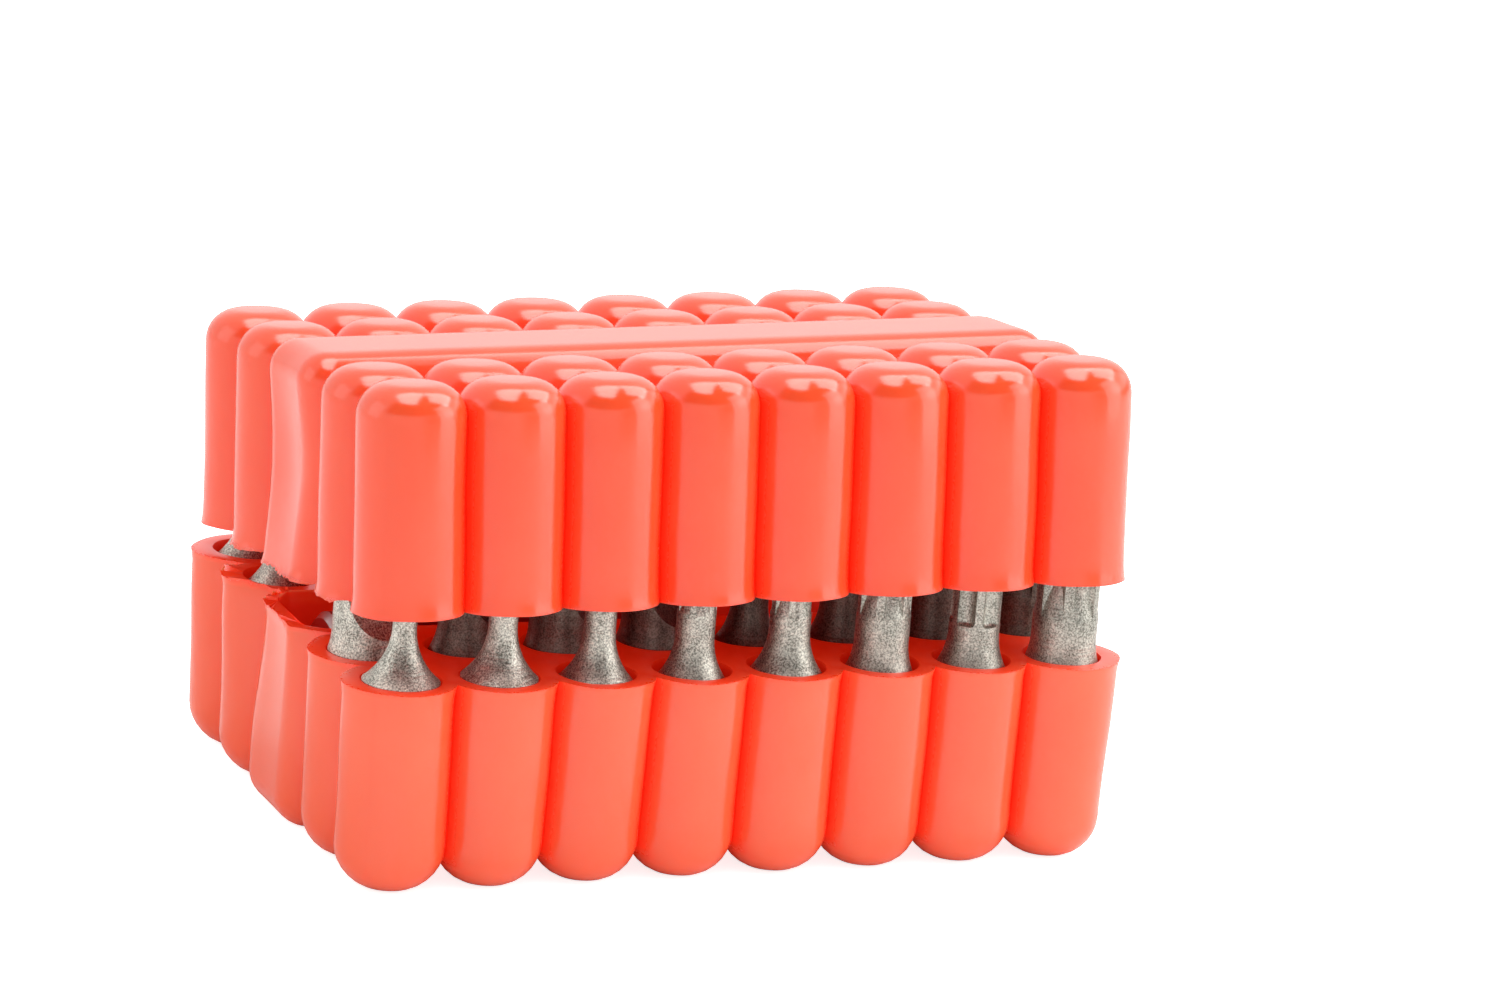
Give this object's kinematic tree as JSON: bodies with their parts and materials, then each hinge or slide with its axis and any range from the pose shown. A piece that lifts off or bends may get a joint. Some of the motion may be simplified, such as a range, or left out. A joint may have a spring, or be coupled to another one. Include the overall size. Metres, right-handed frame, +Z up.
{
  "type": "security bit set",
  "caption": "Soft pocketed case in two pull-apart halves, holding rows of hexagon-shank security screwdriver bits and a magnetic bit holder, drawn with its cover half pulled off and cocked.",
  "frame": {"origin": "under the middle of the tray, on the surface that it stands on", "axes": "+X along the rows of pockets, to the right seen from the front row; +Y from the front row to the back row; +Z up, the way that the bits lift out"},
  "size_m": [0.0764, 0.0547, 0.048],
  "materials": {
    "soft_shell": "soft satin moulded vinyl, orange red",
    "bit_steel": "matt blasted tool steel",
    "holder_steel": "satin turned steel",
    "magnet_plating": "nickel plating",
    "spring_steel": "dark spring steel"
  },
  "bodies": {
    "tray": {"tray": "soft_shell"},
    "cover": {"cover": "soft_shell"},
    "holder": {"holder_sleeve": "holder_steel", "holder_shank": "holder_steel", "holder_magnet": "magnet_plating", "holder_ring": "spring_steel"},
    "star_bit_1": {"star_bit_1": "bit_steel"},
    "star_bit_2": {"star_bit_2": "bit_steel"},
    "star_bit_3": {"star_bit_3": "bit_steel"},
    "star_bit_4": {"star_bit_4": "bit_steel"},
    "star_bit_5": {"star_bit_5": "bit_steel"},
    "star_bit_6": {"star_bit_6": "bit_steel"},
    "star_bit_7": {"star_bit_7": "bit_steel"},
    "star_bit_8": {"star_bit_8": "bit_steel"},
    "spanner_bit_10": {"spanner_bit_10": "bit_steel"},
    "spanner_bit_4": {"spanner_bit_4": "bit_steel"},
    "spanner_bit_6": {"spanner_bit_6": "bit_steel"},
    "spanner_bit_8": {"spanner_bit_8": "bit_steel"},
    "offset_cross_bit_6": {"offset_cross_bit_6": "bit_steel"},
    "offset_cross_bit_8": {"offset_cross_bit_8": "bit_steel"},
    "offset_cross_bit_10": {"offset_cross_bit_10": "bit_steel"},
    "star_bit_9": {"star_bit_9": "bit_steel"},
    "hex_bit_5_64in": {"hex_bit_5_64in": "bit_steel"},
    "hex_bit_3_32in": {"hex_bit_3_32in": "bit_steel"},
    "hex_bit_7_64in": {"hex_bit_7_64in": "bit_steel"},
    "hex_bit_1_8in": {"hex_bit_1_8in": "bit_steel"},
    "hex_bit_9_64in": {"hex_bit_9_64in": "bit_steel"},
    "hex_bit_5_32in": {"hex_bit_5_32in": "bit_steel"},
    "three_wing_bit_1": {"three_wing_bit_1": "bit_steel"},
    "three_wing_bit_2": {"three_wing_bit_2": "bit_steel"},
    "hex_bit_2mm": {"hex_bit_2mm": "bit_steel"},
    "hex_bit_2_5mm": {"hex_bit_2_5mm": "bit_steel"},
    "hex_bit_3mm": {"hex_bit_3mm": "bit_steel"},
    "hex_bit_4mm": {"hex_bit_4mm": "bit_steel"},
    "hex_bit_5mm": {"hex_bit_5mm": "bit_steel"},
    "hex_bit_6mm": {"hex_bit_6mm": "bit_steel"},
    "three_wing_bit_3": {"three_wing_bit_3": "bit_steel"},
    "three_wing_bit_4": {"three_wing_bit_4": "bit_steel"}
  },
  "joints": [
    {"name": "cover_pull", "type": "slide", "parent": "tray", "child": "cover", "axis": [-0.0175, 0.0871, 0.996], "range_m": [-0.0019, 0.032]},
    {"name": "holder_lift", "type": "slide", "parent": "tray", "child": "holder", "axis": [0, 0, 1], "range_m": [0, 0.012]},
    {"name": "star_bit_1_lift", "type": "slide", "parent": "tray", "child": "star_bit_1", "axis": [0, 0, 1], "range_m": [0, 0.011]},
    {"name": "star_bit_2_lift", "type": "slide", "parent": "tray", "child": "star_bit_2", "axis": [0, 0, 1], "range_m": [0, 0.011]},
    {"name": "star_bit_3_lift", "type": "slide", "parent": "tray", "child": "star_bit_3", "axis": [0, 0, 1], "range_m": [0, 0.011]},
    {"name": "star_bit_4_lift", "type": "slide", "parent": "tray", "child": "star_bit_4", "axis": [0, 0, 1], "range_m": [0, 0.011]},
    {"name": "star_bit_5_lift", "type": "slide", "parent": "tray", "child": "star_bit_5", "axis": [0, 0, 1], "range_m": [0, 0.011]},
    {"name": "star_bit_6_lift", "type": "slide", "parent": "tray", "child": "star_bit_6", "axis": [0, 0, 1], "range_m": [0, 0.011]},
    {"name": "star_bit_7_lift", "type": "slide", "parent": "tray", "child": "star_bit_7", "axis": [0, 0, 1], "range_m": [0, 0.011]},
    {"name": "star_bit_8_lift", "type": "slide", "parent": "tray", "child": "star_bit_8", "axis": [0, 0, 1], "range_m": [0, 0.0105]},
    {"name": "spanner_bit_10_lift", "type": "slide", "parent": "tray", "child": "spanner_bit_10", "axis": [0, 0, 1], "range_m": [0, 0.008]},
    {"name": "spanner_bit_4_lift", "type": "slide", "parent": "tray", "child": "spanner_bit_4", "axis": [0, 0, 1], "range_m": [0, 0.011]},
    {"name": "spanner_bit_6_lift", "type": "slide", "parent": "tray", "child": "spanner_bit_6", "axis": [0, 0, 1], "range_m": [0, 0.011]},
    {"name": "spanner_bit_8_lift", "type": "slide", "parent": "tray", "child": "spanner_bit_8", "axis": [0, 0, 1], "range_m": [0, 0.009]},
    {"name": "offset_cross_bit_6_lift", "type": "slide", "parent": "tray", "child": "offset_cross_bit_6", "axis": [0, 0, 1], "range_m": [0, 0.011]},
    {"name": "offset_cross_bit_8_lift", "type": "slide", "parent": "tray", "child": "offset_cross_bit_8", "axis": [0, 0, 1], "range_m": [0, 0.011]},
    {"name": "offset_cross_bit_10_lift", "type": "slide", "parent": "tray", "child": "offset_cross_bit_10", "axis": [0, 0, 1], "range_m": [0, 0.011]},
    {"name": "star_bit_9_lift", "type": "slide", "parent": "tray", "child": "star_bit_9", "axis": [0, 0, 1], "range_m": [0, 0.011]},
    {"name": "hex_bit_5_64in_lift", "type": "slide", "parent": "tray", "child": "hex_bit_5_64in", "axis": [0, 0, 1], "range_m": [0, 0.011]},
    {"name": "hex_bit_3_32in_lift", "type": "slide", "parent": "tray", "child": "hex_bit_3_32in", "axis": [0, 0, 1], "range_m": [0, 0.011]},
    {"name": "hex_bit_7_64in_lift", "type": "slide", "parent": "tray", "child": "hex_bit_7_64in", "axis": [0, 0, 1], "range_m": [0, 0.011]},
    {"name": "hex_bit_1_8in_lift", "type": "slide", "parent": "tray", "child": "hex_bit_1_8in", "axis": [0, 0, 1], "range_m": [0, 0.011]},
    {"name": "hex_bit_9_64in_lift", "type": "slide", "parent": "tray", "child": "hex_bit_9_64in", "axis": [0, 0, 1], "range_m": [0, 0.011]},
    {"name": "hex_bit_5_32in_lift", "type": "slide", "parent": "tray", "child": "hex_bit_5_32in", "axis": [0, 0, 1], "range_m": [0, 0.011]},
    {"name": "three_wing_bit_1_lift", "type": "slide", "parent": "tray", "child": "three_wing_bit_1", "axis": [0, 0, 1], "range_m": [0, 0.011]},
    {"name": "three_wing_bit_2_lift", "type": "slide", "parent": "tray", "child": "three_wing_bit_2", "axis": [0, 0, 1], "range_m": [0, 0.011]},
    {"name": "hex_bit_2mm_lift", "type": "slide", "parent": "tray", "child": "hex_bit_2mm", "axis": [0, 0, 1], "range_m": [0, 0.011]},
    {"name": "hex_bit_2_5mm_lift", "type": "slide", "parent": "tray", "child": "hex_bit_2_5mm", "axis": [0, 0, 1], "range_m": [0, 0.011]},
    {"name": "hex_bit_3mm_lift", "type": "slide", "parent": "tray", "child": "hex_bit_3mm", "axis": [0, 0, 1], "range_m": [0, 0.011]},
    {"name": "hex_bit_4mm_lift", "type": "slide", "parent": "tray", "child": "hex_bit_4mm", "axis": [0, 0, 1], "range_m": [0, 0.011]},
    {"name": "hex_bit_5mm_lift", "type": "slide", "parent": "tray", "child": "hex_bit_5mm", "axis": [0, 0, 1], "range_m": [0, 0.01]},
    {"name": "hex_bit_6mm_lift", "type": "slide", "parent": "tray", "child": "hex_bit_6mm", "axis": [0, 0, 1], "range_m": [0, 0.0035]},
    {"name": "three_wing_bit_3_lift", "type": "slide", "parent": "tray", "child": "three_wing_bit_3", "axis": [0, 0, 1], "range_m": [0, 0.011]},
    {"name": "three_wing_bit_4_lift", "type": "slide", "parent": "tray", "child": "three_wing_bit_4", "axis": [0, 0, 1], "range_m": [0, 0.011]}
  ]
}
